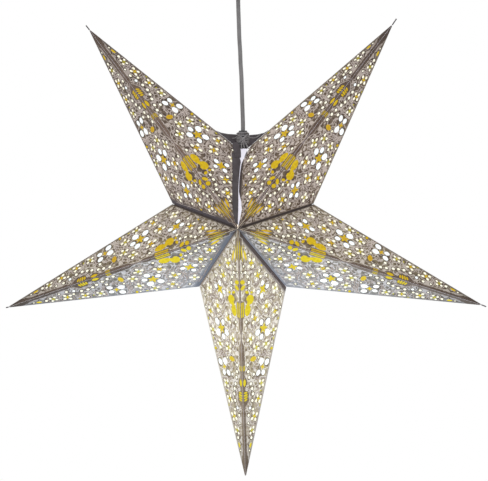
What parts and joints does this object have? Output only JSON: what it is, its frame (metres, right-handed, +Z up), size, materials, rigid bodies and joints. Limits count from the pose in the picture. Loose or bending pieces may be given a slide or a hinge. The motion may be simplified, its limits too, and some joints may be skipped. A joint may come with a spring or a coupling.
{
  "type": "paper star lantern",
  "caption": "Lit paper star lantern of folded punched card, with hollow arms round a pendant bulb, tied at the top seam to a flex that hangs from a ceiling canopy.",
  "frame": {"origin": "middle of the canopy's ceiling face, where the lantern is hung", "axes": "+Z up out of the ceiling face, -Y towards the front of the star, +X to the viewer's right"},
  "size_m": [0.5918, 0.1838, 0.6308],
  "materials": {
    "printed_card": "matte",
    "dark_card": "matte",
    "lining_paper": "matte",
    "tie_string": "matte",
    "flex_rubber": "satin",
    "black_moulding": "satin",
    "socket_ceramic": "gloss",
    "brass": "satin",
    "bulb_metal": "satin",
    "bulb_glass": "matte",
    "white_moulding": "satin",
    "strap_steel": "satin",
    "grip_moulding": "satin"
  },
  "bodies": {
    "canopy": {"canopy_cup": "white_moulding", "mounting_strap": "strap_steel", "flex_grip": "grip_moulding", "grip_nut": "grip_moulding"},
    "flex": {"flex": "flex_rubber"},
    "lampholder": {"tie_knot": "tie_string", "holder_neck": "black_moulding", "holder_cap": "black_moulding", "holder_shell": "black_moulding", "shade_ring": "black_moulding", "socket_insert": "socket_ceramic", "thread_shell": "brass"},
    "bulb": {"bulb_cap": "bulb_metal", "bulb_globe": "bulb_glass"},
    "bottom_arm_front_right_panel": {"bottom_arm_front_right_card": "printed_card", "bottom_arm_front_right_lining": "lining_paper"},
    "bottom_arm_back_right_panel": {"bottom_arm_back_right_card": "printed_card", "bottom_arm_back_right_lining": "lining_paper"},
    "right_arm_front_lower_panel": {"right_arm_front_lower_card": "printed_card", "right_arm_front_lower_lining": "lining_paper"},
    "right_arm_back_lower_panel": {"right_arm_back_lower_card": "printed_card", "right_arm_back_lower_lining": "lining_paper"},
    "right_arm_front_upper_panel": {"right_arm_front_upper_card": "printed_card", "right_arm_front_upper_lining": "lining_paper"},
    "right_arm_back_upper_panel": {"right_arm_back_upper_card": "printed_card", "right_arm_back_upper_lining": "lining_paper"},
    "upper_right_arm_front_outer_panel": {"upper_right_arm_front_outer_card": "printed_card", "upper_right_arm_front_outer_lining": "lining_paper"},
    "upper_right_arm_back_outer_panel": {"upper_right_arm_back_outer_card": "printed_card", "upper_right_arm_back_outer_lining": "lining_paper"},
    "upper_right_arm_front_inner_panel": {"upper_right_arm_front_inner_card": "printed_card", "upper_right_arm_front_inner_lining": "lining_paper", "right_tie_tab": "dark_card", "right_tie_string": "tie_string"},
    "upper_right_arm_back_inner_panel": {"upper_right_arm_back_inner_card": "printed_card", "upper_right_arm_back_inner_lining": "lining_paper"},
    "bottom_arm_front_left_panel": {"bottom_arm_front_left_card": "printed_card", "bottom_arm_front_left_lining": "lining_paper"},
    "bottom_arm_back_left_panel": {"bottom_arm_back_left_card": "printed_card", "bottom_arm_back_left_lining": "lining_paper"},
    "left_arm_front_lower_panel": {"left_arm_front_lower_card": "printed_card", "left_arm_front_lower_lining": "lining_paper"},
    "left_arm_back_lower_panel": {"left_arm_back_lower_card": "printed_card", "left_arm_back_lower_lining": "lining_paper"},
    "left_arm_front_upper_panel": {"left_arm_front_upper_card": "printed_card", "left_arm_front_upper_lining": "lining_paper"},
    "left_arm_back_upper_panel": {"left_arm_back_upper_card": "printed_card", "left_arm_back_upper_lining": "lining_paper"},
    "upper_left_arm_front_outer_panel": {"upper_left_arm_front_outer_card": "printed_card", "upper_left_arm_front_outer_lining": "lining_paper"},
    "upper_left_arm_back_outer_panel": {"upper_left_arm_back_outer_card": "printed_card", "upper_left_arm_back_outer_lining": "lining_paper"},
    "upper_left_arm_front_inner_panel": {"upper_left_arm_front_inner_card": "printed_card", "upper_left_arm_front_inner_lining": "lining_paper", "left_seam_strip": "printed_card", "left_tie_tab": "dark_card", "left_tie_string": "tie_string"},
    "upper_left_arm_back_inner_panel": {"upper_left_arm_back_inner_card": "printed_card", "upper_left_arm_back_inner_lining": "lining_paper"}
  },
  "joints": [
    {"name": "flex_swing", "type": "hinge", "parent": "canopy", "child": "flex", "pos_m": [0, 0, -0.027], "axis": [1, 0, 0], "range_deg": [-10, 10]},
    {"name": "lantern_twist", "type": "hinge", "parent": "flex", "child": "lampholder", "pos_m": [0.006, 0, -0.2], "axis": [0, 0, 1], "range_deg": [-180, 180]},
    {"name": "bulb_turn", "type": "hinge", "parent": "lampholder", "child": "bulb", "pos_m": [0.006, 0, -0.28], "axis": [0, 0, 1], "continuous": true},
    {"name": "bottom_arm_front_right_fold", "type": "hinge", "parent": "lampholder", "child": "bottom_arm_front_right_panel", "pos_m": [0.006, -0.095, -0.32], "axis": [0, -0.2887, 0.9574], "range_deg": [0, 29.5]},
    {"name": "bottom_arm_back_right_fold", "type": "hinge", "parent": "bottom_arm_front_right_panel", "child": "bottom_arm_back_right_panel", "pos_m": [0.03333, 0, -0.51512], "axis": [-0.2223, 0, -0.975], "range_deg": [0, 56.5]},
    {"name": "right_arm_front_lower_fold", "type": "hinge", "parent": "bottom_arm_front_right_panel", "child": "right_arm_front_lower_panel", "pos_m": [0.006, -0.095, -0.32], "axis": [0.4112, 0.7146, -0.5659], "range_deg": [0, 81.5]},
    {"name": "right_arm_back_lower_fold", "type": "hinge", "parent": "right_arm_front_lower_panel", "child": "right_arm_back_lower_panel", "pos_m": [0.18312, 0, -0.40629], "axis": [-0.996, 0, 0.0899], "range_deg": [0, 56.5]},
    {"name": "right_arm_front_upper_fold", "type": "hinge", "parent": "right_arm_front_lower_panel", "child": "right_arm_front_upper_panel", "pos_m": [0.006, -0.095, -0.32], "axis": [-0.9105, -0.2887, 0.2959], "range_deg": [0, 59.5]},
    {"name": "right_arm_back_upper_fold", "type": "hinge", "parent": "right_arm_front_upper_panel", "child": "right_arm_back_upper_panel", "pos_m": [0.20002, 0, -0.3543], "axis": [0.8586, 0, -0.5127], "range_deg": [0, 56.5]},
    {"name": "upper_right_arm_front_outer_fold", "type": "hinge", "parent": "right_arm_front_upper_panel", "child": "upper_right_arm_front_outer_panel", "pos_m": [0.006, -0.095, -0.32], "axis": [0.6653, 0.7146, 0.2162], "range_deg": [0, 81.5]},
    {"name": "upper_right_arm_back_outer_fold", "type": "hinge", "parent": "upper_right_arm_front_outer_panel", "child": "upper_right_arm_back_outer_panel", "pos_m": [0.1428, 0, -0.17821], "axis": [-0.3932, 0, -0.9194], "range_deg": [0, 56.5]},
    {"name": "upper_right_arm_front_inner_fold", "type": "hinge", "parent": "upper_right_arm_front_outer_panel", "child": "upper_right_arm_front_inner_panel", "pos_m": [0.006, -0.095, -0.32], "axis": [-0.5627, -0.2887, -0.7746], "range_deg": [0, 59.5]},
    {"name": "upper_right_arm_back_inner_fold", "type": "hinge", "parent": "upper_right_arm_front_inner_panel", "child": "upper_right_arm_back_inner_panel", "pos_m": [0.09858, 0, -0.14608], "axis": [0.7529, 0, 0.6581], "range_deg": [0, 56.5]},
    {"name": "bottom_arm_front_left_fold", "type": "hinge", "parent": "lampholder", "child": "bottom_arm_front_left_panel", "pos_m": [0.006, -0.095, -0.32], "axis": [0, 0.2887, -0.9574], "range_deg": [0, 30]},
    {"name": "bottom_arm_back_left_fold", "type": "hinge", "parent": "bottom_arm_front_left_panel", "child": "bottom_arm_back_left_panel", "pos_m": [-0.02133, 0, -0.51512], "axis": [-0.2223, 0, 0.975], "range_deg": [0, 56.5]},
    {"name": "left_arm_front_lower_fold", "type": "hinge", "parent": "bottom_arm_front_left_panel", "child": "left_arm_front_lower_panel", "pos_m": [0.006, -0.095, -0.32], "axis": [0.4112, -0.7146, 0.5659], "range_deg": [0, 81.5]},
    {"name": "left_arm_back_lower_fold", "type": "hinge", "parent": "left_arm_front_lower_panel", "child": "left_arm_back_lower_panel", "pos_m": [-0.17112, 0, -0.40629], "axis": [-0.996, 0, -0.0899], "range_deg": [0, 56.5]},
    {"name": "left_arm_front_upper_fold", "type": "hinge", "parent": "left_arm_front_lower_panel", "child": "left_arm_front_upper_panel", "pos_m": [0.006, -0.095, -0.32], "axis": [-0.9105, 0.2887, -0.2959], "range_deg": [0, 59.5]},
    {"name": "left_arm_back_upper_fold", "type": "hinge", "parent": "left_arm_front_upper_panel", "child": "left_arm_back_upper_panel", "pos_m": [-0.18802, 0, -0.3543], "axis": [0.8586, 0, 0.5127], "range_deg": [0, 56.5]},
    {"name": "upper_left_arm_front_outer_fold", "type": "hinge", "parent": "left_arm_front_upper_panel", "child": "upper_left_arm_front_outer_panel", "pos_m": [0.006, -0.095, -0.32], "axis": [0.6653, -0.7146, -0.2162], "range_deg": [0, 81.5]},
    {"name": "upper_left_arm_back_outer_fold", "type": "hinge", "parent": "upper_left_arm_front_outer_panel", "child": "upper_left_arm_back_outer_panel", "pos_m": [-0.1308, 0, -0.17821], "axis": [-0.3932, 0, 0.9194], "range_deg": [0, 56.5]},
    {"name": "upper_left_arm_front_inner_fold", "type": "hinge", "parent": "upper_left_arm_front_outer_panel", "child": "upper_left_arm_front_inner_panel", "pos_m": [0.006, -0.095, -0.32], "axis": [-0.5627, 0.2887, 0.7746], "range_deg": [0, 59.5]},
    {"name": "upper_left_arm_back_inner_fold", "type": "hinge", "parent": "upper_left_arm_front_inner_panel", "child": "upper_left_arm_back_inner_panel", "pos_m": [-0.08658, 0, -0.14608], "axis": [0.7529, 0, -0.6581], "range_deg": [0, 56.5]}
  ],
  "couplings": [
    {"joint": "bottom_arm_back_right_fold", "follows": "bottom_arm_front_right_fold", "ratio": 1.9098},
    {"joint": "right_arm_front_lower_fold", "follows": "bottom_arm_front_right_fold", "ratio": 2.7592},
    {"joint": "right_arm_back_lower_fold", "follows": "bottom_arm_front_right_fold", "ratio": 1.9098},
    {"joint": "right_arm_front_upper_fold", "follows": "bottom_arm_front_right_fold", "ratio": 2},
    {"joint": "right_arm_back_upper_fold", "follows": "bottom_arm_front_right_fold", "ratio": 1.9098},
    {"joint": "upper_right_arm_front_outer_fold", "follows": "bottom_arm_front_right_fold", "ratio": 2.7592},
    {"joint": "upper_right_arm_back_outer_fold", "follows": "bottom_arm_front_right_fold", "ratio": 1.9098},
    {"joint": "upper_right_arm_front_inner_fold", "follows": "bottom_arm_front_right_fold", "ratio": 2},
    {"joint": "upper_right_arm_back_inner_fold", "follows": "bottom_arm_front_right_fold", "ratio": 1.9098},
    {"joint": "bottom_arm_front_left_fold", "follows": "bottom_arm_front_right_fold", "ratio": 1},
    {"joint": "bottom_arm_back_left_fold", "follows": "bottom_arm_front_right_fold", "ratio": 1.9098},
    {"joint": "left_arm_front_lower_fold", "follows": "bottom_arm_front_right_fold", "ratio": 2.7592},
    {"joint": "left_arm_back_lower_fold", "follows": "bottom_arm_front_right_fold", "ratio": 1.9098},
    {"joint": "left_arm_front_upper_fold", "follows": "bottom_arm_front_right_fold", "ratio": 2},
    {"joint": "left_arm_back_upper_fold", "follows": "bottom_arm_front_right_fold", "ratio": 1.9098},
    {"joint": "upper_left_arm_front_outer_fold", "follows": "bottom_arm_front_right_fold", "ratio": 2.7592},
    {"joint": "upper_left_arm_back_outer_fold", "follows": "bottom_arm_front_right_fold", "ratio": 1.9098},
    {"joint": "upper_left_arm_front_inner_fold", "follows": "bottom_arm_front_right_fold", "ratio": 2},
    {"joint": "upper_left_arm_back_inner_fold", "follows": "bottom_arm_front_right_fold", "ratio": 1.9098}
  ]
}
